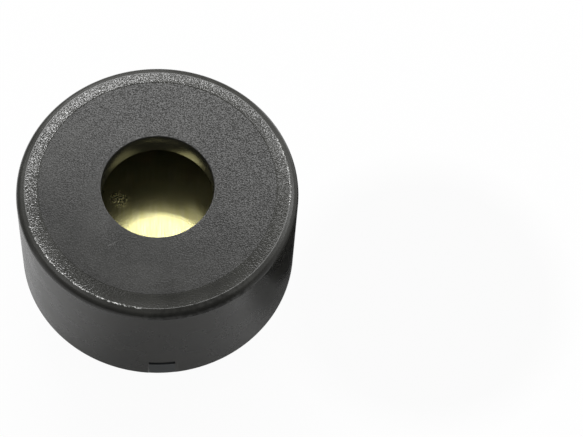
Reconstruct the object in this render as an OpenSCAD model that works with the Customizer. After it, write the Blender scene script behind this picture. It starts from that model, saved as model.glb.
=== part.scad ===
// Piezo buzzer for a circuit board. A round moulded case holds a brass and
// ceramic sounder disc on an inner ledge, behind a wide sound port. A base
// plate with bosses and pegs closes the rim, and two hairpins of tinned wire
// are the terminals: each runs through the plate and presses on the disc.
// The origin is the centre of the seating plane, +Z runs out through the
// sound port, the terminals stand on X and the keying notch faces -Y.

/* [Case] */
// Outside diameter of the case
case_d = 22; // [18:0.5:30]
// Height of the case from its rim to its top face
case_h = 11.2; // [9.5:0.1:16]
// Wall of the case at its rim
wall_t = 0.8; // [0.5:0.05:1.2]
// Thickness of the top around the sound port
top_t = 2.3; // [1.5:0.1:3]
// Diameter of the sound port
port_d = 8.8; // [4:0.1:11]
// Radius of the rounded edge between the side and the top
edge_r = 0.65; // [0.3:0.05:1]
// Width of the sloping band around the flat top face
band_w = 1.02; // [0.4:0.01:1.5]
// Drop of the band from the top face to the rounded edge
band_drop = 0.32; // [0.1:0.02:0.6]
// Radius of the rim's outer edge
rim_outer_r = 0.15; // [0.05:0.05:0.35]
// Radius of the rim's inner edge
rim_inner_r = 0.25; // [0.05:0.05:0.4]
// Width of the shoulder that the base plate seats on
shoulder_w = 0.5; // [0.3:0.05:0.9]
// Width of the ledge that the disc is glued to
ledge_w = 0.8; // [0.4:0.05:1.2]
// Radius of the bead that the base plate snaps past
bead_r = 0.1; // [0.07:0.01:0.15]

/* [Keying notch] */
// Width of the notch in the rim
notch_w = 2.1; // [1:0.1:4]
// Opening left between the tab and the end of the notch
notch_gap = 0.4; // [0.1:0.05:0.8]
// Clearance on each side of the tab
tab_fit = 0.07; // [0.05:0.01:0.2]

/* [Base plate] */
// Depth of the plate's outer face below the rim
plate_recess = 0.15; // [0:0.05:0.6]
// Thickness of the plate
plate_t = 1.65; // [0.8:0.05:2.2]
// Thickness of the flange at the plate's edge
flange_t = 0.5; // [0.3:0.05:0.6]
// Width of the groove between the plate's outer face and the rim
groove_w = 0.58; // [0.3:0.02:1]
// Radius of the plate's outer edge
plate_edge_r = 0.12; // [0.05:0.01:0.2]
// Clearance of the flange in the case
plate_fit = 0.05; // [0.02:0.01:0.06]
// Height that the bosses and pegs stand proud of the rim
standoff = 0.75; // [0.3:0.05:1.5]
// Side of the square boss around each terminal
boss_w = 3.4; // [2.6:0.1:4]
// Diameter of the two pegs
peg_d = 1.4; // [0.8:0.1:2]
// Distance between the two pegs
peg_spacing = 12.7; // [11.5:0.1:14]
// Width of the shallow pocket in the plate's outer face
pocket_w = 3.5; // [2:0.1:4]
// Length of the pocket
pocket_l = 9.8; // [6:0.1:10]
// Depth of the pocket
pocket_t = 0.08; // [0.03:0.01:0.2]

/* [Sounder disc] */
// Thickness of the brass disc
brass_t = 0.2; // [0.1:0.05:0.3]
// Diameter of the ceramic disc
ceramic_d = 12.5; // [8:0.1:13]
// Thickness of the ceramic disc
ceramic_t = 0.2; // [0.1:0.05:0.3]
// Clearance around the brass disc
disc_fit = 0.1; // [0.05:0.01:0.2]
// Height of the brass disc above the base plate
disc_lift = 2.5; // [2:0.1:3.5]
// Width of the adhesive on the brass disc
glue_w = 0.6; // [0.3:0.05:1]
// Height of the adhesive on the wall
glue_h = 0.6; // [0.3:0.05:1]

/* [Terminals] */
// Distance between the two terminals
pitch = 10; // [8:0.1:12.5]
// Length of a terminal below the seating plane
pin_l = 4; // [2:0.1:8]
// Diameter of the wire
wire_d = 0.3; // [0.2:0.02:0.36]
// Distance between the centres of a hairpin's two legs
leg_gap = 0.5; // [0.4:0.02:0.8]
// Radius of the wire's bends, at its centre
bend_r = 0.35; // [0.3:0.05:0.5]
// Clearance around the wire in its holes
wire_fit = 0.02; // [0.01:0.01:0.03]
// Straight length of the clip that holds the wire to the plate
clip_l = 0.6; // [0.3:0.1:1]
// Depth of the clip's end in the plate
clip_depth = 0.55; // [0.3:0.05:0.6]
// Height of the straight wire above the plate where the spring arm starts
arm_rise = 0.1; // [0:0.05:0.3]
// Straight length of the spring arm past its contact
arm_tail = 0.4; // [0.2:0.1:0.6]
// Distance from the axis to the contact on the ceramic disc
contact_r = 1.5; // [0.5:0.1:2.5]
// Turn of the rim terminal's hairpin about its own axis
rim_turn = 16; // [-60:1:60]
// Turn of the centre terminal's hairpin about its own axis
centre_turn = -50; // [-60:1:60]

/* [Hidden] */
$fn = 96;
// How far a cutting solid runs past the face that it opens
past = 1;
// How much thicker a bend is drawn than the wire, and how far each straight run
// reaches into it, so that the two always join into one solid
bend_swell = 0.002;
run_in = 0.01;

// Heights above the seating plane
rim_z = standoff;
top_z = rim_z + case_h;
plate_out_z = rim_z + plate_recess;
plate_in_z = plate_out_z + plate_t;
root_z = plate_in_z - plate_t / 2;
brass_z = plate_in_z + disc_lift;
seat_z = brass_z + brass_t;
ceramic_z = brass_z - ceramic_t;
notch_top_z = plate_in_z + notch_gap;
band_z = top_z - band_drop;
edge_z = band_z - edge_r;

// Radii about the axis
case_r = case_d / 2;
mouth_r = case_r - wall_t;
bore_r = mouth_r - shoulder_w;
chamber_r = bore_r - ledge_w;
disc_r = bore_r - disc_fit;
plate_r = mouth_r - groove_w;
band_r = case_r - edge_r;
face_r = band_r - band_w;

// The rim terminal presses two thirds of the way from the ceramic to the ledge
brass_contact_r = (ceramic_d / 2 + 2 * chamber_r) / 3;

// Hole for one leg of a hairpin
leg_hole_d = wire_d + 2 * wire_fit;
// Centre of a hairpin's loop, above its tip
loop_z = -pin_l + wire_d / 2 + leg_gap / 2;
// Distance from a hairpin's axis to the end of its clip
clip_x = leg_gap / 2 + 2 * bend_r + clip_l;

// The corner at the origin that lies outside a circle of radius r touching both
// axes. An edge is rounded off by cutting this away.
module corner_cut(r) {
    difference() {
        square(r);
        translate([r, r])
            circle(r);
    }
}

// Half section of the case's outside
module case_outline() {
    difference() {
        union() {
            translate([0, rim_z])
                square([case_r, edge_z - rim_z]);
            translate([band_r, edge_z])
                circle(edge_r);
            polygon([[0, rim_z], [band_r, rim_z], [band_r, band_z],
                     [face_r, top_z], [0, top_z]]);
        }
        translate([case_r, rim_z])
            mirror([1, 0])
                corner_cut(rim_outer_r);
    }
}

// Half section of the case's inside, without the sound port
module case_hollow() {
    translate([0, rim_z - past])
        square([mouth_r, plate_in_z - rim_z + past]);
    translate([0, rim_z])
        square([bore_r, seat_z - rim_z]);
    translate([0, rim_z])
        square([chamber_r, case_h - top_t]);
    translate([mouth_r, rim_z])
        corner_cut(rim_inner_r);
}

module case() {
    color("#3b3a38")
        difference() {
            rotate_extrude() {
                difference() {
                    case_outline();
                    case_hollow();
                }
                translate([mouth_r, plate_in_z - flange_t - bead_r])
                    circle(bead_r);
            }
            translate([0, 0, rim_z])
                cylinder(d = port_d, h = case_h + past);
            notch();
        }
}

// The notch goes through the rim and its bead, and ends in a blind slot above the tab
module notch() {
    inner_y = sqrt(pow(mouth_r - bead_r, 2) - pow(notch_w / 2, 2));
    translate([-notch_w / 2, -case_r - past, rim_z - past])
        cube([notch_w, case_r + past - inner_y, notch_top_z - rim_z + past]);
}

// Half section of the plate: the outer face, its rounded edge and the flange
module plate_outline() {
    difference() {
        translate([0, plate_out_z])
            square([plate_r, plate_t]);
        translate([plate_r, plate_out_z])
            mirror([1, 0])
                corner_cut(plate_edge_r);
    }
    translate([0, plate_in_z - flange_t])
        square([mouth_r - plate_fit, flange_t]);
}

module base_plate() {
    color("#4c5355")
        difference() {
            union() {
                difference() {
                    rotate_extrude()
                        plate_outline();
                    translate([-pocket_w / 2, -pocket_l / 2, plate_out_z - past])
                        cube([pocket_w, pocket_l, past + pocket_t]);
                }
                tab();
                for (side = [-1, 1]) {
                    translate([side * pitch / 2, 0, 0])
                        boss();
                    translate([0, side * peg_spacing / 2, 0])
                        cylinder(d = peg_d, h = root_z);
                }
            }
            at_rim_terminal()
                terminal_holes(rim_turn);
            at_centre_terminal()
                terminal_holes(centre_turn);
        }
}

// The tab fills the case's notch and ends flush with its outside
module tab() {
    tab_w = notch_w - 2 * tab_fit;
    intersection() {
        translate([-tab_w / 2, -case_r, plate_out_z])
            cube([tab_w, case_r - plate_r / 2, plate_t]);
        cylinder(r = case_r, h = plate_in_z);
    }
}

// A square boss, turned so that a corner points to the axis
module boss() {
    rotate(45)
        translate([-boss_w / 2, -boss_w / 2, 0])
            cube([boss_w, boss_w, root_z]);
}

module brass_disc() {
    color("#c9a64a")
        translate([0, 0, brass_z])
            cylinder(r = disc_r, h = brass_t);
}

module ceramic_disc() {
    color("#d8d6cc")
        translate([0, 0, ceramic_z])
            cylinder(d = ceramic_d, h = ceramic_t);
}

// Adhesive around the brass disc and in the corner under it
module adhesive_ring() {
    color("#e6e4dc")
        rotate_extrude()
            polygon([[disc_r - glue_w, brass_z], [disc_r, brass_z], [disc_r, seat_z],
                     [bore_r, seat_z], [bore_r, brass_z - glue_h]]);
}

// Each terminal's own frame has its spring arm along +X
module at_rim_terminal() {
    translate([-pitch / 2, 0, 0])
        rotate(180)
            children();
}

module at_centre_terminal() {
    translate([pitch / 2, 0, 0])
        rotate(180)
            children();
}

// Through holes for the two legs and a blind hole for the end of the clip
module terminal_holes(turn) {
    rotate(turn) {
        for (side = [-1, 1])
            translate([side * leg_gap / 2, 0, -past])
                cylinder(d = leg_hole_d, h = plate_in_z + 2 * past);
        translate([-clip_x, 0, plate_in_z - clip_depth - wire_fit])
            cylinder(d = leg_hole_d, h = clip_depth + past);
    }
}

// Wire of straight runs and bends, starting along +Z. Each step but the last is
// [straight length, twist about the wire, bend radius, bend towards +X].
module bent_wire(steps) {
    length = steps[0][0];
    twist = steps[0][1];
    radius = steps[0][2];
    turn = steps[0][3];
    translate([0, 0, -run_in])
        cylinder(d = wire_d, h = length + 2 * run_in);
    if (len(steps) > 1)
        translate([0, 0, length])
            rotate(twist)
                translate([radius, 0, 0]) {
                    rotate([90, 0, 0])
                        rotate(180 - turn)
                            rotate_extrude(angle = turn)
                                translate([radius, 0])
                                    circle(d = wire_d + bend_swell);
                    rotate([0, turn, 0])
                        translate([-radius, 0, 0])
                            bent_wire([for (k = [1:len(steps) - 1]) steps[k]]);
                }
}

// One terminal, from the end of its clip: over the plate, down one leg, round
// the hairpin's loop, up the other leg, and along the spring arm to the crown
// that touches the disc at the given place and height
module terminal(turn, contact_x, contact_z) {
    leg_l = plate_in_z - loop_z;
    arm_x = contact_x - leg_gap / 2 * cos(turn) - bend_r;
    arm_z = contact_z - (wire_d + bend_swell) / 2 - plate_in_z - arm_rise - bend_r;
    arm_turn = atan2(arm_x, arm_z);
    color("#c4c7c9")
        rotate(turn)
            translate([-clip_x, 0, plate_in_z - clip_depth])
                bent_wire([[clip_depth, 0, bend_r, 90],
                           [clip_l, 0, bend_r, 90],
                           [leg_l, 180, leg_gap / 2, 180],
                           [leg_l + arm_rise, 180 - turn, bend_r, arm_turn],
                           [norm([arm_x, arm_z]), 0, bend_r, 180 - 2 * arm_turn],
                           [arm_tail]]);
}

module rim_terminal() {
    at_rim_terminal()
        terminal(rim_turn, brass_contact_r - pitch / 2, brass_z);
}

module centre_terminal() {
    at_centre_terminal()
        terminal(centre_turn, pitch / 2 - contact_r, ceramic_z);
}

case();
base_plate();
brass_disc();
ceramic_disc();
adhesive_ring();
rim_terminal();
centre_terminal();
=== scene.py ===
from math import asin, atan2, cos, degrees, hypot, pi, radians, sin

import bmesh
import bpy
from mathutils import Matrix, Vector, noise


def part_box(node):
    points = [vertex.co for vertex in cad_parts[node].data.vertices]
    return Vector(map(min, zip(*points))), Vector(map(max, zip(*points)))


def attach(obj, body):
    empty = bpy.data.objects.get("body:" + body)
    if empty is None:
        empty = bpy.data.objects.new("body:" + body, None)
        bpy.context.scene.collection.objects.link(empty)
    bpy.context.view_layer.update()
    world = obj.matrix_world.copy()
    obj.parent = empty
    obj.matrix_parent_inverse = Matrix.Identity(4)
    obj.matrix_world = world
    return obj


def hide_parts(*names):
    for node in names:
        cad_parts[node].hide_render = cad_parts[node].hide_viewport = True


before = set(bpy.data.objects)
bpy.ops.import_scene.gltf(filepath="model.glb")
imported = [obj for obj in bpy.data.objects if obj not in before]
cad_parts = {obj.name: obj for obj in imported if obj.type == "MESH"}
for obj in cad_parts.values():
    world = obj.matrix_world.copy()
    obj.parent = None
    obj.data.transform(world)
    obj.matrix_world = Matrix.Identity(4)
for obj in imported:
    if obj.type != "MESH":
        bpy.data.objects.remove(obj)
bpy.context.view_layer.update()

# Case: one injection moulding in black plastic, open below. The flat of its top
# is spark-textured, the sloping band around it is frosted, and its rounded edge
# and side are as the polished mould left them.
mm = 0.001
# Points within a weld of each other are one, and what is within a skin of a wall is on it
weld = 0.001 * mm
skin = 0.02 * mm
case_low, case_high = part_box("case")
case_r = case_high.x
rim_z = case_low.z
top_z = case_high.z
plate_in_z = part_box("base_plate")[1].z
seat_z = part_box("brass_disc")[1].z
mouth_r = case_r - 0.8 * mm
bore_r = mouth_r - 0.5 * mm
chamber_r = bore_r - 0.8 * mm
ceiling_z = top_z - 2.3 * mm
port_r = 4.4 * mm
edge_w = 0.65 * mm
edge_drop = 0.21 * mm
band_r = case_r - edge_w
band_w = 1.02 * mm
band_drop = 0.32 * mm
band_z = top_z - band_drop
face_r = band_r - band_w
lip_w = 0.12 * mm
lip_h = 0.03 * mm
line_w = 0.07 * mm
line_depth = 0.025 * mm
bead_r = 0.1 * mm
bead_z = plate_in_z - 0.5 * mm - bead_r
port_round = 0.07 * mm
lip_round = 0.03 * mm
edge_round = 0.42 * mm
rim_round = 0.15 * mm
mouth_round = 0.25 * mm
bead_round = 0.05 * mm
step_round = 0.06 * mm
ceiling_round = 0.15 * mm
notch_half = 1.05 * mm
notch_top_z = plate_in_z + 0.4 * mm
notch_back_y = -((mouth_r - bead_r) ** 2 - notch_half ** 2) ** 0.5
near_notch_x = 1.7 * mm
near_notch_y = -9.6 * mm
# Stretches of the lip, in degrees about the axis, that get light grey flecks: scuff wear and a
# painted highlight along the lip
lip_wear_and_highlight_arcs = ((197, 262), (350, 384))


def half_section(corners, closed):
    """A wire outline in the XZ plane, from corners of (radius, height, rounding)."""
    facet = 0.06 * mm
    bm = bmesh.new()
    points = [bm.verts.new((r, 0, z)) for r, z, _ in corners]
    following = points[1:] + points[:1] if closed else points[1:]
    for point, next_point in zip(points, following):
        bm.edges.new((point, next_point))
    for point, (_, _, rounding) in zip(points, corners):
        if rounding:
            bmesh.ops.bevel(bm, geom=[point], affect="VERTICES", offset=rounding,
                            offset_type="OFFSET", segments=max(3, int(rounding / facet)),
                            profile=0.5, material=-1, clamp_overlap=False)
    bmesh.ops.remove_doubles(bm, verts=bm.verts, dist=weld)
    return bm


def turned(corners, steps, closed=True):
    """A full turn of a half section about Z."""
    bm = half_section(corners, closed)
    bmesh.ops.spin(bm, geom=bm.verts[:] + bm.edges[:], cent=(0, 0, 0), axis=(0, 0, 1),
                   angle=2 * pi, steps=steps, use_merge=True)
    bmesh.ops.remove_doubles(bm, verts=bm.verts, dist=weld)
    return bm


def cut(bm, axis, level, near):
    """Cuts the faces for which near(face) is true along a plane square to an axis."""
    faces = [f for f in bm.faces if near(f)]
    edges = {e for f in faces for e in f.edges}
    verts = {v for f in faces for v in f.verts}
    place, normal = Vector((0, 0, 0)), Vector((0, 0, 0))
    place[axis], normal[axis] = level, 1
    bmesh.ops.bisect_plane(bm, geom=[*faces, *edges, *verts], dist=weld / 2,
                           plane_co=place, plane_no=normal)


def close_flat(bm, axis, level):
    """Fills the flat face outlined by the edges in a plane that lack a face."""
    open_edges = [e for e in bm.edges if len(e.link_faces) < 2
                  and all(abs(v.co[axis] - level) < 2 * weld for v in e.verts)]
    bmesh.ops.triangle_fill(bm, use_beauty=True, use_dissolve=False, edges=open_edges)


def finished(name, bm, nodes, materials, sharp=32):
    """Makes the piece: normals outward, edges above the sharp angle kept crisp."""
    bmesh.ops.dissolve_degenerate(bm, dist=weld / 5, edges=bm.edges)
    bmesh.ops.recalc_face_normals(bm, faces=bm.faces)
    for face in bm.faces:
        face.smooth = True
    for edge in bm.edges:
        edge.smooth = edge.is_manifold and edge.calc_face_angle(0) < radians(sharp)
    mesh = bpy.data.meshes.new(name)
    bm.to_mesh(mesh)
    bm.free()
    for material in materials:
        mesh.materials.append(material)
    piece = bpy.data.objects.new(name, mesh)
    bpy.context.scene.collection.objects.link(piece)
    weighted = piece.modifiers.new("weighted_normals", "WEIGHTED_NORMAL")
    weighted.keep_sharp = True
    weighted.weight = 80
    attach(piece, "root")
    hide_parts(*nodes)


def node_adder(tree):
    """A function that adds a shader node, with its inputs set or linked."""
    def add(kind, inputs=None, **settings):
        node = tree.nodes.new("ShaderNode" + kind)
        for setting, value in settings.items():
            setattr(node, setting, value)
        for socket, value in (inputs or {}).items():
            if isinstance(value, bpy.types.NodeSocket):
                tree.links.new(value, node.inputs[socket])
            else:
                node.inputs[socket].default_value = value
        return node

    return add


def new_material(name, **shader_values):
    """A Principled material, and functions that add a node and feed its shader."""
    material = bpy.data.materials.new(name)
    material.use_nodes = True
    tree = material.node_tree
    shader = tree.nodes["Principled BSDF"]
    for socket, value in shader_values.items():
        shader.inputs[socket.replace("_", " ")].default_value = value

    def feed(socket, output):
        tree.links.new(output, shader.inputs[socket])

    return material, node_adder(tree), feed


# A noise's values nearly all lie in this span
noise_span = (0.3, 0.7)


def spread(add, source, low, high, to_low, to_high):
    """Maps a value from one range to another, held at the ends."""
    return add("MapRange", {"Value": source, "From Min": low, "From Max": high,
                            "To Min": to_low, "To Max": to_high}).outputs["Result"]


def between(add, share, first, second):
    """Mixes two colours by a share from 0 to 1."""
    mix = add("Mix", data_type="RGBA")
    for socket, value in (("Factor", share), ("A", first), ("B", second)):
        found = [s for s in mix.inputs if s.name == socket
                 and s.type == ("VALUE" if socket == "Factor" else "RGBA")][0]
        if isinstance(value, bpy.types.NodeSocket):
            mix.id_data.links.new(value, found)
        else:
            found.default_value = value
    return [s for s in mix.outputs if s.type == "RGBA"][0]


def moulded_plastic(name, dark, light, roughness, grain, grain_depth, fleck_and_highlight=0.0,
                    specular=0.5, pits=None, calm=None, dull_and_shade=None, scratch=None):
    """Black moulding: a grain of the given size and depth in metres, with soft patches
    in its tone and gloss, pits that shine less, and light grey flecks on its crests,
    which stand for scuff wear and paint a highlight as well.
    Calm is a direction in which the grain grows shallower, from where to where, and
    down to what share. dull_and_shade is the same for shine and tone, with a frayed
    border: the shine is dulled, and the tone is darkened toward black as painted shade.
    A scratch is a light line from one point to another."""
    patch_size = 3 * mm
    gloss_swing = 0.04
    fleck_and_highlight_span = (0.54, 0.72)
    fleck_and_highlight_colour = (0.42, 0.42, 0.41, 1)
    pitted_span = (0.38, 0.62)
    scratch_w = 0.09 * mm
    scratch_colour = (0.048, 0.048, 0.046, 1)
    fray_size = 0.4 * mm
    fray_reach = 4 * mm
    material, add, feed = new_material(name, IOR=1.5, Specular_IOR_Level=specular)
    place = add("TexCoord").outputs["Object"]

    def reach(toward):
        found = add("VectorMath", {0: place, 1: toward}, operation="DOT_PRODUCT")
        return found.outputs["Value"]

    # The grain is turned off the part's own planes, which would show its lattice
    turned_place = add("Mapping", {"Vector": place, "Rotation": (0.6, 0.35, 0.2)})
    crests = add("TexNoise", {"Vector": turned_place.outputs["Vector"], "Scale": 1 / grain,
                              "Detail": 0.0}).outputs["Fac"]
    if calm:
        toward, calm_from, calm_to, depth_left = calm
        height = add("Math", {0: crests, 1: 0.5}, operation="SUBTRACT").outputs[0]
        depth = spread(add, reach(toward), calm_from, calm_to, 1, depth_left)
        crests = add("Math", {0: height, 1: depth, 2: 0.5}, operation="MULTIPLY_ADD").outputs[0]
    patches = add("TexNoise", {"Vector": place, "Scale": 1 / patch_size, "Detail": 4.0,
                               "Roughness": 0.55}).outputs["Fac"]
    tone = between(add, spread(add, patches, *noise_span, 0, 1), dark, light)
    if fleck_and_highlight:
        # Light grey flecks on the crests: scuff wear, and a painted highlight as well
        tone = between(add, spread(add, crests, *fleck_and_highlight_span, 0, fleck_and_highlight), tone, fleck_and_highlight_colour)
    if scratch:
        first, last = Vector(scratch[0]), Vector(scratch[1])
        along = (last - first).normalized()
        across = Vector((-along.y, along.x, 0))
        marked = []
        for way, width in ((along, (last - first).length), (across, scratch_w)):
            marked.append(add("Math", {0: reach(way), 1: way.dot(first + last) / 2,
                                       2: width / 2}, operation="COMPARE").outputs[0])
        line = add("Math", {0: marked[0], 1: marked[1]}, operation="MULTIPLY").outputs[0]
        tone = between(add, line, tone, scratch_colour)
    shine = specular
    if pits is not None:
        shine = spread(add, crests, *pitted_span, pits, specular)
    if dull_and_shade:
        toward, dull_shade_from, dull_shade_to, shine_left, tone_left = dull_and_shade
        frays = add("TexNoise", {"Vector": place, "Scale": 1 / fray_size,
                                 "Detail": 2.0}).outputs["Fac"]
        frayed = add("Math", {0: frays, 1: fray_reach, 2: reach(toward)},
                     operation="MULTIPLY_ADD").outputs[0]
        shine_share = spread(add, frayed, dull_shade_from, dull_shade_to, 1, shine_left)
        shine = add("Math", {0: shine, 1: shine_share}, operation="MULTIPLY").outputs[0]
        # Across the same frayed span the tone is darkened toward black: painted shade
        shade = spread(add, frayed, dull_shade_from, dull_shade_to, 0, 1 - tone_left)
        tone = between(add, shade, tone, (0, 0, 0, 1))
    if pits is not None or dull_and_shade:
        feed("Specular IOR Level", shine)
    feed("Base Color", tone)
    feed("Roughness", spread(add, patches, *noise_span, roughness - gloss_swing,
                             roughness + gloss_swing))
    feed("Normal", add("Bump", {"Height": crests, "Strength": 1.0,
                                "Distance": grain_depth}).outputs["Normal"])
    return material


smooth_plastic = moulded_plastic(
    "case_smooth", (0.026, 0.026, 0.024, 1), (0.034, 0.034, 0.030, 1), roughness=0.28,
    grain=0.10 * mm, grain_depth=0.0003 * mm, specular=0.36)
face_plastic = moulded_plastic(
    "case_face", (0.0210, 0.0210, 0.0201, 1), (0.0280, 0.0280, 0.0265, 1), roughness=0.18,
    grain=0.095 * mm, grain_depth=0.010 * mm, specular=0.275, pits=0.035,
    calm=((-0.794, -0.607, 0), -6 * mm, 3 * mm, 0.42),
    scratch=((-3.95 * mm, -5.05 * mm, top_z), (-3.2 * mm, -4.65 * mm, top_z)))
band_plastic = moulded_plastic(
    "case_band", (0.024, 0.024, 0.022, 1), (0.034, 0.034, 0.031, 1), roughness=0.17,
    grain=0.10 * mm, grain_depth=0.034 * mm, specular=0.56, pits=0.06,
    calm=((0.129, -0.992, 0), 7 * mm, 9.2 * mm, 0.45),
    dull_and_shade=((0.788, -0.616, 0), 8 * mm, 11 * mm, 0.47, 1.0))
# The rounded edge is dulled and painted darker in a frayed patch toward the front, a little to
# the right: a painted shadow under the lip
edge_plastic = moulded_plastic(
    "case_edge", (0.022, 0.022, 0.020, 1), (0.030, 0.030, 0.027, 1), roughness=0.26,
    grain=0.10 * mm, grain_depth=0.0003 * mm, specular=0.42,
    dull_and_shade=((0.292, -0.956, 0), 11.9 * mm, 13.1 * mm, 0.35, 0.7))
bore_plastic = moulded_plastic(
    "case_bore", (0.018, 0.0185, 0.0155, 1), (0.026, 0.026, 0.022, 1), roughness=0.16,
    grain=0.12 * mm, grain_depth=0.0003 * mm)
# The lip's finish: light grey flecks on its crests, as scuff wear and as a painted highlight line
# along the lip
lip_wear_and_highlight = moulded_plastic(
    "case_lip", (0.018, 0.0185, 0.0155, 1), (0.026, 0.026, 0.022, 1), roughness=0.30,
    grain=0.12 * mm, grain_depth=0.040 * mm, fleck_and_highlight=0.9)
case_finishes = [smooth_plastic, face_plastic, band_plastic, lip_wear_and_highlight, bore_plastic,
                 edge_plastic]
smooth, textured, frosted, lip_worn_and_highlit, bored, rounded = range(6)

case = turned([
    (port_r, top_z, port_round),
    (face_r - line_w, top_z, 0), (face_r - line_w / 2, top_z - line_depth, 0),
    (face_r, top_z, 0),
    (band_r - lip_w / 2, band_z + lip_w / 2 * band_drop / band_w, 0),
    (band_r, band_z + lip_h, lip_round), (band_r + lip_w / 2, band_z, 0),
    (case_r, band_z - edge_drop, edge_round),
    (case_r, rim_z, rim_round), (mouth_r, rim_z, mouth_round),
    (mouth_r, bead_z - bead_r, 0), (mouth_r - bead_r, bead_z, bead_round),
    (mouth_r, bead_z + bead_r, 0),
    (mouth_r, plate_in_z, 0), (bore_r, plate_in_z, step_round),
    (bore_r, seat_z, 0), (chamber_r, seat_z, step_round),
    (chamber_r, ceiling_z, ceiling_round), (port_r, ceiling_z, port_round),
], steps=256)


# The keying notch goes through the rim and ends in a blind slot above the shoulder
def by_notch(face):
    middle = face.calc_center_median()
    return (abs(middle.x) < near_notch_x and middle.y < near_notch_y
            and min(v.co.z for v in face.verts) < notch_top_z)


for side in (-1, 1):
    cut(case, 0, side * notch_half, by_notch)
cut(case, 2, notch_top_z, by_notch)
cut(case, 1, notch_back_y, by_notch)
opened = [f for f in case.faces if by_notch(f)
          and abs(f.calc_center_median().x) < notch_half
          and f.calc_center_median().y < notch_back_y
          and f.calc_center_median().z < notch_top_z]
bmesh.ops.delete(case, geom=opened, context="FACES")
slot_corners = {}
for side in (-1, 1):
    x = side * notch_half
    corner = case.verts.new((x, notch_back_y, notch_top_z))
    for vert in [v for v in case.verts if v.is_boundary and abs(v.co.x - x) < 2 * weld]:
        at_back = abs(vert.co.y - notch_back_y) < 2 * weld
        at_top = abs(vert.co.z - notch_top_z) < 2 * weld
        if at_back or at_top:
            case.edges.new((corner, vert))
    slot_corners[side] = corner
case.edges.new((slot_corners[-1], slot_corners[1]))
for axis, level in ((0, -notch_half), (0, notch_half), (2, notch_top_z), (1, notch_back_y)):
    close_flat(case, axis, level)

# Each face takes its finish from where it lies; in two stretches the lip takes light grey flecks,
# scuff wear that also paints its highlight line
for face in case.faces:
    middle = face.calc_center_median()
    out = hypot(middle.x, middle.y)
    if middle.z > ceiling_z and out < port_r + skin:
        face.material_index = bored
    if middle.z > band_z - weld and out < band_r + lip_w / 2:
        around = degrees(atan2(middle.y, middle.x)) % 360
        on_wear_and_highlight = any(start < turn < end for start, end in lip_wear_and_highlight_arcs
                   for turn in (around, around + 360))
        face.material_index = (textured if out < face_r - line_w
                               else smooth if out < face_r
                               else frosted if out < band_r - lip_w / 2
                               else lip_worn_and_highlit if on_wear_and_highlight else rounded)
    elif middle.z > band_z - edge_w and out > band_r:
        face.material_index = rounded
finished("case_moulding", case, ["case"], case_finishes)

# Brass disc: blanked from rolled sheet, with the rolling streaks along Y, a light
# tarnish and one scuffed spot. It is glued by its edge to the case's ledge, a
# little dished and tipped.
streak_scale = (9000.0, 350.0, 1.0)
streak_depth = 0.0004 * mm
dish_depth = 0.03 * mm
tip_toward = (0.5, 0.65, 0.0)
tip_height = 0.04
spot_at = (-3.1 * mm, 2.5 * mm, seat_z)
spot_r = 1.1 * mm
mark_size = 0.13 * mm
mark_depth = 0.02 * mm
mark_roughness = 0.22
brass, add, feed = new_material("rolled_brass", Metallic=0.92)
place = add("TexCoord").outputs["Object"]
along = add("Mapping", {"Vector": place, "Scale": streak_scale}).outputs["Vector"]
streaks = add("TexNoise", {"Vector": along, "Scale": 1.0, "Detail": 4.0,
                           "Roughness": 0.6}).outputs["Fac"]
waves = add("TexNoise", {"Vector": place, "Scale": 300.0, "Detail": 1.0}).outputs["Fac"]
tarnish = add("TexNoise", {"Vector": place, "Scale": 260.0, "Detail": 5.0,
                           "Roughness": 0.6}).outputs["Fac"]
clean = between(add, spread(add, streaks, *noise_span, 0, 1),
                (0.84, 0.78, 0.27, 1), (0.98, 0.92, 0.53, 1))
feed("Base Color", between(add, spread(add, tarnish, 0.56, 0.75, 0, 0.55), clean,
                           (0.46, 0.25, 0.14, 1)))
# A scuffed spot lies at the left under the port
spot = add("VectorMath", {0: place, 1: spot_at}, operation="DISTANCE").outputs["Value"]
scuffed = spread(add, spot, 0.1 * mm, spot_r, 1, 0)
turned_place = add("Mapping", {"Vector": place, "Rotation": (0.9, 0.5, 0.3)})
marks = add("TexNoise", {"Vector": turned_place.outputs["Vector"], "Scale": 1 / mark_size,
                         "Detail": 1.0}).outputs["Fac"]
crumbs = add("Math", {0: spread(add, marks, 0.45, 0.7, 0, 1), 1: scuffed},
             operation="MULTIPLY").outputs[0]
polish = spread(add, streaks, 0.25, 0.75, 0.17, 0.21)
feed("Roughness", add("Math", {0: crumbs, 1: mark_roughness, 2: polish},
                      operation="MULTIPLY_ADD").outputs[0])
slope = add("VectorMath", {0: place, 1: tip_toward}, operation="DOT_PRODUCT").outputs["Value"]
normal = None
for height, depth in ((streaks, streak_depth), (waves, dish_depth), (slope, tip_height),
                      (crumbs, mark_depth)):
    relief = {"Height": height, "Strength": 1.0, "Distance": depth}
    if normal is not None:
        relief["Normal"] = normal
    normal = add("Bump", relief).outputs["Normal"]
feed("Normal", normal)
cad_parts["brass_disc"].data.materials.clear()
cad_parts["brass_disc"].data.materials.append(brass)

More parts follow.
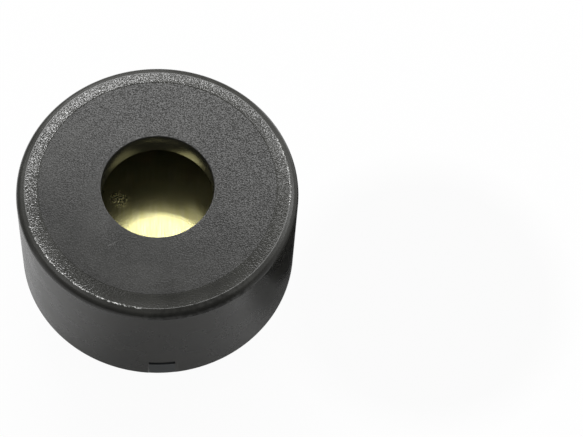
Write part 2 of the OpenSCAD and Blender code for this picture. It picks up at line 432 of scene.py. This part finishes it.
# Ceramic disc: a fired piezo wafer bonded under the brass. A silver electrode
# covers all but a narrow rim of it.
ceramic_d = 12.5 * mm
bare_rim = 0.40 * mm
silver_edge = 0.02 * mm
ceramic, add, feed = new_material("silvered_ceramic")
place = add("TexCoord").outputs["Object"]
flat_place = add("VectorMath", {0: place, 1: (1.0, 1.0, 0.0)}, operation="MULTIPLY")
out = add("VectorMath", {0: flat_place.outputs[0]}, operation="LENGTH").outputs["Value"]
silver_r = ceramic_d / 2 - bare_rim
silvered = spread(add, out, silver_r - silver_edge, silver_r + silver_edge, 1, 0)
mottle = add("TexNoise", {"Vector": place, "Scale": 1500.0, "Detail": 5.0,
                          "Roughness": 0.7}).outputs["Fac"]
silver = between(add, spread(add, mottle, *noise_span, 0, 1),
                 (0.60, 0.60, 0.57, 1), (0.76, 0.75, 0.71, 1))
feed("Base Color", between(add, silvered, (0.62, 0.55, 0.38, 1), silver))
feed("Metallic", silvered)
feed("Roughness", spread(add, mottle, *noise_span, 0.42, 0.62))
feed("Normal", add("Bump", {"Height": mottle, "Strength": 1.0,
                            "Distance": 0.003 * mm}).outputs["Normal"])
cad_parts["ceramic_disc"].data.materials.clear()
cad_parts["ceramic_disc"].data.materials.append(ceramic)

# Adhesive: a run of white silicone around the brass disc, drawn up the wall into
# a hollow fillet as it cured.
brass_low, brass_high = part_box("brass_disc")
disc_r = brass_high.x
brass_z = brass_low.z
glue_low_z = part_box("adhesive_ring")[0].z
glue_lap = 0.6 * mm
glue_neck_w = 0.12 * mm
glue_neck_h = 0.2 * mm
glue_round = 0.1 * mm
ripple_h = 0.05 * mm
ripples_per_m = 700
glue = turned([
    (disc_r - glue_lap, brass_z, 0), (disc_r, brass_z, 0), (disc_r, seat_z, 0),
    (bore_r, seat_z, 0), (bore_r, glue_low_z, 0),
    (bore_r - glue_neck_w, brass_z - glue_neck_h, glue_round),
], steps=160)
for vert in glue.verts:
    out = hypot(vert.co.x, vert.co.y)
    if vert.co.z < brass_z - skin and out < bore_r - skin:
        ripple = ripple_h * noise.noise(vert.co * ripples_per_m)
        vert.co += Vector((vert.co.x / out, vert.co.y / out, 0)) * ripple
silicone, add, feed = new_material("silicone", IOR=1.42, Subsurface_Weight=0.15)
place = add("TexCoord").outputs["Object"]
cloud = add("TexNoise", {"Vector": place, "Scale": 900.0, "Detail": 3.0}).outputs["Fac"]
feed("Base Color", between(add, cloud, (0.72, 0.71, 0.66, 1), (0.83, 0.82, 0.78, 1)))
feed("Roughness", spread(add, cloud, *noise_span, 0.28, 0.42))
finished("adhesive_bead", glue, ["adhesive_ring"], [silicone], sharp=50)

# Base plate: a second moulding, in a bluer black, that snaps into the mouth past
# the bead. It carries a boss around each terminal, two pegs, a shallow pocket and
# the tab that fills the notch.
plate_out_z = rim_z + 0.15 * mm
plate_r = mouth_r - 0.58 * mm
flange_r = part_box("base_plate")[1].x
flange_z = plate_in_z - 0.5 * mm
flange_lap = 0.3 * mm
support_r = plate_r - 0.2 * mm
tab_half = notch_half - 0.008 * mm
pitch = 10 * mm
boss_r = 3.4 * mm / 2 ** 0.5
boss_corner = 0.12 * mm
boss_round = 0.06 * mm
peg_r = 0.7 * mm
peg_y = 12.7 * mm / 2
peg_round = 0.1 * mm
plate_round = 0.12 * mm
step_fillet = 0.04 * mm
flange_round = 0.05 * mm
pocket_w = 3.5 * mm
pocket_l = 9.8 * mm
pocket_top_z = plate_out_z + 0.08 * mm
wire_r = 0.15 * mm
leg_gap = 0.5 * mm
bend_r = 0.35 * mm
clip_l = 0.6 * mm
clip_depth = 0.55 * mm
hole_gap = 0.02 * mm
leg_hole_r = wire_r + hole_gap
hole_z = plate_in_z - clip_depth - hole_gap
clip_x = leg_gap / 2 + 2 * bend_r + clip_l
turns = {"rim": (-1, radians(16)), "centre": (1, radians(-50))}

plate = turned([
    (support_r, plate_out_z, 0), (plate_r, plate_out_z, plate_round),
    (plate_r, flange_z, step_fillet), (flange_r, flange_z, flange_round),
    (flange_r, plate_in_z, flange_round), (flange_r - flange_lap, plate_in_z, 0),
], steps=240, closed=False)


# The tab: the wall opens between its cheeks, and its end follows the case's side
def by_tab(face):
    middle = face.calc_center_median()
    return abs(middle.x) < near_notch_x and middle.y < 0


for side in (-1, 1):
    cut(plate, 0, side * tab_half, by_tab)
bmesh.ops.delete(plate, geom=[f for f in plate.faces if by_tab(f)
                              and abs(f.calc_center_median().x) < tab_half], context="FACES")
tab_reach = asin(tab_half / case_r)
tab_low = plate.verts.new(Matrix.Rotation(-tab_reach, 3, "Z")
                          @ Vector((0, -case_r, plate_out_z)))
tab_high = plate.verts.new(tab_low.co + Vector((0, 0, plate_in_z - plate_out_z)))
tab_edge = plate.edges.new((tab_low, tab_high))
bmesh.ops.spin(plate, geom=[tab_low, tab_high, tab_edge], cent=(0, 0, 0), axis=(0, 0, 1),
               angle=2 * tab_reach, steps=8, use_merge=False)
bmesh.ops.remove_doubles(plate, verts=plate.verts, dist=weld)
for level in (plate_out_z, plate_in_z):
    for side in (-1, 1):
        edge_verts = [v for v in plate.verts if abs(v.co.x - side * tab_half) < 2 * weld
                      and abs(v.co.z - level) < 2 * weld and v.co.y < 0]
        edge_verts.sort(key=lambda v: v.co.y)
        plate.edges.new(edge_verts[:2])
for side in (-1, 1):
    close_flat(plate, 0, side * tab_half)


def ring(bm, radius, centre, segments, low_z, high_z, corner=0.0):
    """A wall square to the plate, round or many-sided. Gives the edges of its far end."""
    place = Matrix.Translation((centre.x, centre.y, low_z))
    made = bmesh.ops.create_circle(bm, segments=segments, radius=radius, matrix=place)["verts"]
    if corner:
        kept = set(bm.verts) - set(made)
        bmesh.ops.bevel(bm, geom=made, affect="VERTICES", offset=corner, segments=4,
                        profile=0.5, material=-1, clamp_overlap=False)
        made = [v for v in bm.verts if v not in kept]
    edges = list({e for v in made for e in v.link_edges})
    raised = bmesh.ops.extrude_edge_only(bm, edges=edges)["geom"]
    top = [g for g in raised if isinstance(g, bmesh.types.BMVert)]
    bmesh.ops.translate(bm, verts=top, vec=(0, 0, high_z - low_z))
    return [g for g in raised if isinstance(g, bmesh.types.BMEdge)
            and all(v in top for v in g.verts)]


def shoulder(bm, edges, centre, height, inset):
    """Adds one more ring below an end, drawn in, for a rounded end's next course."""
    made = bmesh.ops.extrude_edge_only(bm, edges=edges)["geom"]
    verts = [g for g in made if isinstance(g, bmesh.types.BMVert)]
    reach = max((v.co - centre).xy.length for v in verts)
    share = (reach - inset) / reach
    for vert in verts:
        flat = (vert.co - centre).xy * share
        vert.co = Vector((centre.x + flat.x, centre.y + flat.y, vert.co.z - height))
    return [g for g in made if isinstance(g, bmesh.types.BMEdge)
            and all(v in verts for v in g.verts)]


def rounded_end(bm, edges, centre, rounding, stretch=1.0):
    """Ends a wall in a quarter-round, so that its edge catches light."""
    courses = 4
    for step in range(courses):
        now, after = (pi / 2 / courses * k for k in (step, step + 1))
        edges = shoulder(bm, edges, centre, rounding * (sin(after) - sin(now)),
                         stretch * rounding * (cos(now) - cos(after)))
    return edges


for side in (-1, 1):
    boss_at = Vector((side * pitch / 2, 0, 0))
    end = ring(plate, boss_r, boss_at, 4, plate_out_z, boss_round, corner=boss_corner)
    rounded_end(plate, end, boss_at, boss_round, stretch=2 ** 0.5)
    peg_at = Vector((0, side * peg_y, 0))
    end = ring(plate, peg_r, peg_at, 48, plate_out_z, peg_round)
    rounded_end(plate, end, peg_at, peg_round)
for side, turn in turns.values():
    pin_place = (Matrix.Translation((side * pitch / 2, 0, 0))
                 @ Matrix.Rotation(pi + turn, 4, "Z"))
    for leg in (-1, 1):
        leg_at = pin_place @ Vector((leg * leg_gap / 2, 0, 0))
        ring(plate, leg_hole_r, leg_at, 32, 0, plate_in_z)
    ring(plate, leg_hole_r, pin_place @ Vector((-clip_x, 0, 0)), 32, hole_z, plate_in_z)
    close_flat(plate, 2, hole_z)
pocket = bmesh.ops.create_grid(plate, x_segments=1, y_segments=1, size=0.5,
                               matrix=Matrix.Translation((0, 0, pocket_top_z))
                               @ Matrix.Diagonal((pocket_w, pocket_l, 1, 1)))["verts"]
pocket_top = pocket[0].link_faces[0]
walls = bmesh.ops.extrude_edge_only(plate, edges=pocket_top.edges[:])["geom"]
bmesh.ops.translate(plate, verts=[g for g in walls if isinstance(g, bmesh.types.BMVert)],
                    vec=(0, 0, plate_out_z - pocket_top_z))
for level in (plate_out_z, 0.0, plate_in_z):
    close_flat(plate, 2, level)

plate_plastic = moulded_plastic(
    "plate_plastic", (0.030, 0.034, 0.035, 1), (0.041, 0.046, 0.047, 1), roughness=0.34,
    grain=0.12 * mm, grain_depth=0.0012 * mm)
finished("base_moulding", plate, ["base_plate"], [plate_plastic])

# Terminals: two lengths of hard tinned wire. Each is bent from the clip that
# holds it in the plate, down and up again as a hairpin pin, then out along a
# spring arm to the crown that presses on the disc.
tinned, add, feed = new_material("tinned_wire", Metallic=1.0)
place = add("TexCoord").outputs["Object"]
drawn = add("TexNoise", {"Vector": place, "Scale": 2600.0, "Detail": 4.0,
                         "Roughness": 0.65}).outputs["Fac"]
feed("Base Color", between(add, spread(add, drawn, *noise_span, 0, 1),
                           (0.62, 0.62, 0.62, 1), (0.82, 0.82, 0.81, 1)))
feed("Roughness", spread(add, drawn, *noise_span, 0.20, 0.38))
feed("Normal", add("Bump", {"Height": drawn, "Strength": 1.0,
                            "Distance": 0.004 * mm}).outputs["Normal"])

pin_l = 4 * mm
tail_l = 0.4 * mm
arm_rise = 0.1 * mm
contact_gap = 0.001 * mm
centre_contact_l = 1.5 * mm
loop_z = -pin_l + wire_r + leg_gap / 2
ceramic_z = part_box("ceramic_disc")[0].z
brass_contact_r = (ceramic_d / 2 + 2 * chamber_r) / 3
contacts = {"rim": (brass_contact_r - pitch / 2, brass_z),
            "centre": (pitch / 2 - centre_contact_l, ceramic_z)}
for name, (side, turn) in turns.items():
    contact_x, contact_z = contacts[name]
    arm_x = contact_x - leg_gap / 2 * cos(turn) - bend_r
    arm_z = contact_z - wire_r - contact_gap - plate_in_z - arm_rise - bend_r
    arm_turn = atan2(arm_x, arm_z)
    leg_l = plate_in_z - loop_z
    # Each run of wire: its length, its twist, then the radius and angle of its bend
    steps = [(clip_depth, 0, bend_r, pi / 2), (clip_l, 0, bend_r, pi / 2),
             (leg_l, pi, leg_gap / 2, pi), (leg_l + arm_rise, pi - turn, bend_r, arm_turn),
             (hypot(arm_x, arm_z), 0, bend_r, pi - 2 * arm_turn), (tail_l, 0, 0, 0)]
    at = (Matrix.Translation((side * pitch / 2, 0, 0)) @ Matrix.Rotation(pi + turn, 4, "Z")
          @ Matrix.Translation((-clip_x, 0, plate_in_z - clip_depth)))
    wire = bmesh.new()
    bmesh.ops.create_circle(wire, segments=24, radius=wire_r, matrix=at)
    edges = wire.edges[:]
    for length, twist, radius, turn_by in steps:
        run = bmesh.ops.extrude_edge_only(wire, edges=edges)["geom"]
        verts = [g for g in run if isinstance(g, bmesh.types.BMVert)]
        bmesh.ops.translate(wire, verts=verts, vec=at.to_3x3() @ Vector((0, 0, length)))
        edges = [g for g in run if isinstance(g, bmesh.types.BMEdge)
                 and all(v in verts for v in g.verts)]
        at = at @ Matrix.Translation((0, 0, length)) @ Matrix.Rotation(twist, 4, "Z")
        if radius:
            middle = at @ Matrix.Translation((radius, 0, 0))
            last = bmesh.ops.spin(wire, geom=[*verts, *edges], cent=middle.translation,
                                  axis=middle.to_3x3() @ Vector((0, 1, 0)), angle=turn_by,
                                  steps=max(4, round(turn_by / radians(9))))["geom_last"]
            edges = [g for g in last if isinstance(g, bmesh.types.BMEdge)]
            at = middle @ Matrix.Rotation(turn_by, 4, "Y") @ Matrix.Translation((-radius, 0, 0))
    bmesh.ops.remove_doubles(wire, verts=wire.verts, dist=weld)
    bmesh.ops.holes_fill(wire, edges=wire.edges, sides=0)
    finished(name + "_hairpin", wire, [name + "_terminal"], [tinned], sharp=40)

# Table: white paper on a flat top, under the pins. Everything from here on is laid
# out about the camera's own direction, which the part is turned a little from.
floor_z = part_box("rim_terminal")[0].z
facing = Matrix.Rotation(radians(-7.6), 4, "Z")
table_r = 1.5
shaded_by = facing @ Vector((22.2 * mm, 0.5 * mm, floor_z))
shade_r = 10 * mm
shade_end_r = 13.5 * mm
shaded_tone = 0.05
paper_tone = 0.46
shadow_r = 8.4 * mm
shadow_end_r = 8.9 * mm


def staged(name, bm, material):
    """Adds a thing that is not part of the object."""
    mesh = bpy.data.meshes.new(name)
    bm.to_mesh(mesh)
    bm.free()
    mesh.materials.append(material)
    thing = bpy.data.objects.new(name, mesh)
    bpy.context.scene.collection.objects.link(thing)
    return thing


def seen_white(add, lit, glow, seen, reflected):
    """Lets the eye see a share of a white glow over a lit shader, and reflections another."""
    rays = add("LightPath").outputs
    amount = 0
    for ray, share in (("Is Camera Ray", seen), ("Is Glossy Ray", reflected),
                       ("Is Transmission Ray", seen)):
        amount = add("Math", {0: rays[ray], 1: share, 2: amount},
                     operation="MULTIPLY_ADD").outputs[0]
    return add("MixShader", {0: amount, 1: lit, 2: glow}).outputs[0]


white = bpy.data.materials.new("white_table")
white.use_nodes = True
white.node_tree.nodes.clear()
add = node_adder(white.node_tree)
place = add("TexCoord").outputs["Object"]
# The paper falls into shade toward the other buzzer that stands on the right
near = add("VectorMath", {0: place, 1: shaded_by}, operation="DISTANCE").outputs["Value"]
tone = spread(add, near, shade_r, shade_end_r, shaded_tone, paper_tone)
paper = add("BsdfDiffuse", {"Color": tone}).outputs[0]
glowing = seen_white(add, paper, add("Emission").outputs[0], seen=0.96, reflected=0.07)
# Right under the part nothing glows, so that its shadow there is a real one
flat_place = add("VectorMath", {0: place, 1: (1, 1, 0)}, operation="MULTIPLY").outputs[0]
out = add("VectorMath", {0: flat_place}, operation="LENGTH").outputs["Value"]
beside = spread(add, out, shadow_r, shadow_end_r, 0, 1)
from_above = add("MixShader", {0: beside, 1: paper, 2: glowing}).outputs[0]
# Seen from below it is clear, so that the part's underside shows
from_below = add("BsdfTransparent").outputs[0]
below = add("NewGeometry").outputs["Backfacing"]
surface = add("MixShader", {0: below, 1: from_above, 2: from_below}).outputs[0]
add("OutputMaterial", {0: surface})
table = bmesh.new()
bmesh.ops.create_circle(table, cap_ends=True, segments=64, radius=table_r,
                        matrix=Matrix.Translation((0, 0, floor_z)))
staged("table", table, white)

# Room and lamps: a dim room that looks white, a broad window behind to the left
# with a bright lamp in it, a skylight close over the back, and weak light from
# above on each side.
world = bpy.data.worlds.new("room")
bpy.context.scene.world = world
world.use_nodes = True
world.node_tree.nodes.clear()
add = node_adder(world.node_tree)
dim = add("Background", {"Color": (1, 1, 1, 1), "Strength": 0.40}).outputs[0]
bright = add("Background", {"Color": (1, 1, 1, 1), "Strength": 1.0}).outputs[0]
add("OutputWorld", {0: seen_white(add, dim, bright, seen=1.0, reflected=0.12)})


def away_from(azimuth, elevation):
    """Direction from the object, with the camera's side at azimuth -90 degrees."""
    a, e = radians(azimuth), radians(elevation)
    return facing.to_3x3() @ Vector((cos(a) * cos(e), sin(a) * cos(e), sin(e)))


def lamp(name, azimuth, elevation, distance, width, height, radiance):
    """A flat panel facing the object, of even brightness."""
    data = bpy.data.lights.new(name, "AREA")
    data.shape = "RECTANGLE"
    data.size, data.size_y = width, height
    data.energy = radiance * pi * width * height
    away = away_from(azimuth, elevation)
    panel = bpy.data.objects.new(name, data)
    panel.location = away * distance
    panel.rotation_euler = away.to_track_quat("Z", "Y").to_euler()
    panel.visible_camera = False
    bpy.context.scene.collection.objects.link(panel)


lamp("window", azimuth=112, elevation=42, distance=0.5, width=0.54, height=0.23, radiance=3.3)
lamp("skylight", azimuth=80, elevation=56, distance=0.20, width=0.27, height=0.068, radiance=7.0)
lamp("bright_lamp", azimuth=109, elevation=36, distance=0.48, width=0.20, height=0.13,
     radiance=20.0)
lamp("left_sky", azimuth=185, elevation=63, distance=0.5, width=0.22, height=0.22, radiance=1.6)
lamp("right_sky", azimuth=355, elevation=63, distance=0.5, width=0.22, height=0.22, radiance=0.52)

# Cards: they only show in reflections. One is the unlit room in front, one curves
# close behind so that the edge at the back stays dark, and one is the other buzzer.
unlit, _, _ = new_material("dark_card", Base_Color=(0.04, 0.04, 0.04, 1), Roughness=1.0)
black, _, _ = new_material("black_card", Base_Color=(0.012, 0.012, 0.012, 1), Roughness=1.0)
room_card_at = away_from(-90, 50) * 0.6
room_card_size = (2.3, 1.3)
back_card_at = away_from(65, 0) * 45 * mm + Vector((0, 0, floor_z))
back_card_h = 40 * mm
back_card_turn = radians(130)
neighbour_at = Vector((22.8 * mm, 2.0 * mm, -2.5 * mm))
neighbour_lean = radians(-17.4)
case_h = top_z - rim_z


def only_reflected(card):
    card.visible_camera = card.visible_diffuse = card.visible_shadow = False


room = bmesh.new()
bmesh.ops.create_grid(room, x_segments=1, y_segments=1, size=0.5,
                      matrix=Matrix.Translation(room_card_at)
                      @ room_card_at.to_track_quat("Z", "Y").to_matrix().to_4x4()
                      @ Matrix.Diagonal((*room_card_size, 1, 1)))
only_reflected(staged("room_card", room, unlit))
back = bmesh.new()
foot = back.verts.new(back_card_at)
head = back.verts.new(back_card_at + Vector((0, 0, back_card_h)))
bmesh.ops.spin(back, geom=[foot, head, back.edges.new((foot, head))], cent=(0, 0, 0),
               axis=(0, 0, 1), angle=back_card_turn, steps=48, use_merge=False)
only_reflected(staged("back_card", back, unlit))
neighbour = bmesh.new()
bmesh.ops.create_cone(neighbour, cap_ends=True, segments=64, radius1=case_r, radius2=case_r,
                      depth=case_h, matrix=facing @ Matrix.Translation(neighbour_at)
                      @ Matrix.Rotation(neighbour_lean, 4, "X")
                      @ Matrix.Translation((0, 0, case_h / 2)))
only_reflected(staged("neighbour_card", neighbour, black))

# Camera: a long lens that looks steeply down from the front, rolled a little. It
# stands where the rim's centre lies at the given offset to the right, up and ahead.
tip, roll = radians(63.14), 0.0923
offset = Vector((-0.9881, -0.2308, 18.562)) * case_r
camera_data = bpy.data.cameras.new("camera")
camera_data.lens = 154.37
camera_data.sensor_width = 36
camera_data.clip_start = 0.01
camera = bpy.data.objects.new("camera", camera_data)
bpy.context.scene.collection.objects.link(camera)
bpy.context.scene.camera = camera
ahead = Vector((0, cos(tip), -sin(tip)))
over = Vector((0, sin(tip), cos(tip)))
across = Vector((1, 0, 0))
right = cos(roll) * across + sin(roll) * over
up = -sin(roll) * across + cos(roll) * over
stand = Vector((0, 0, rim_z)) - right * offset.x - up * offset.y - ahead * offset.z
camera.matrix_world = facing @ Matrix(((right.x, up.x, -ahead.x, stand.x),
                                       (right.y, up.y, -ahead.y, stand.y),
                                       (right.z, up.z, -ahead.z, stand.z), (0, 0, 0, 1)))

bpy.context.scene.view_settings.view_transform = "Standard"
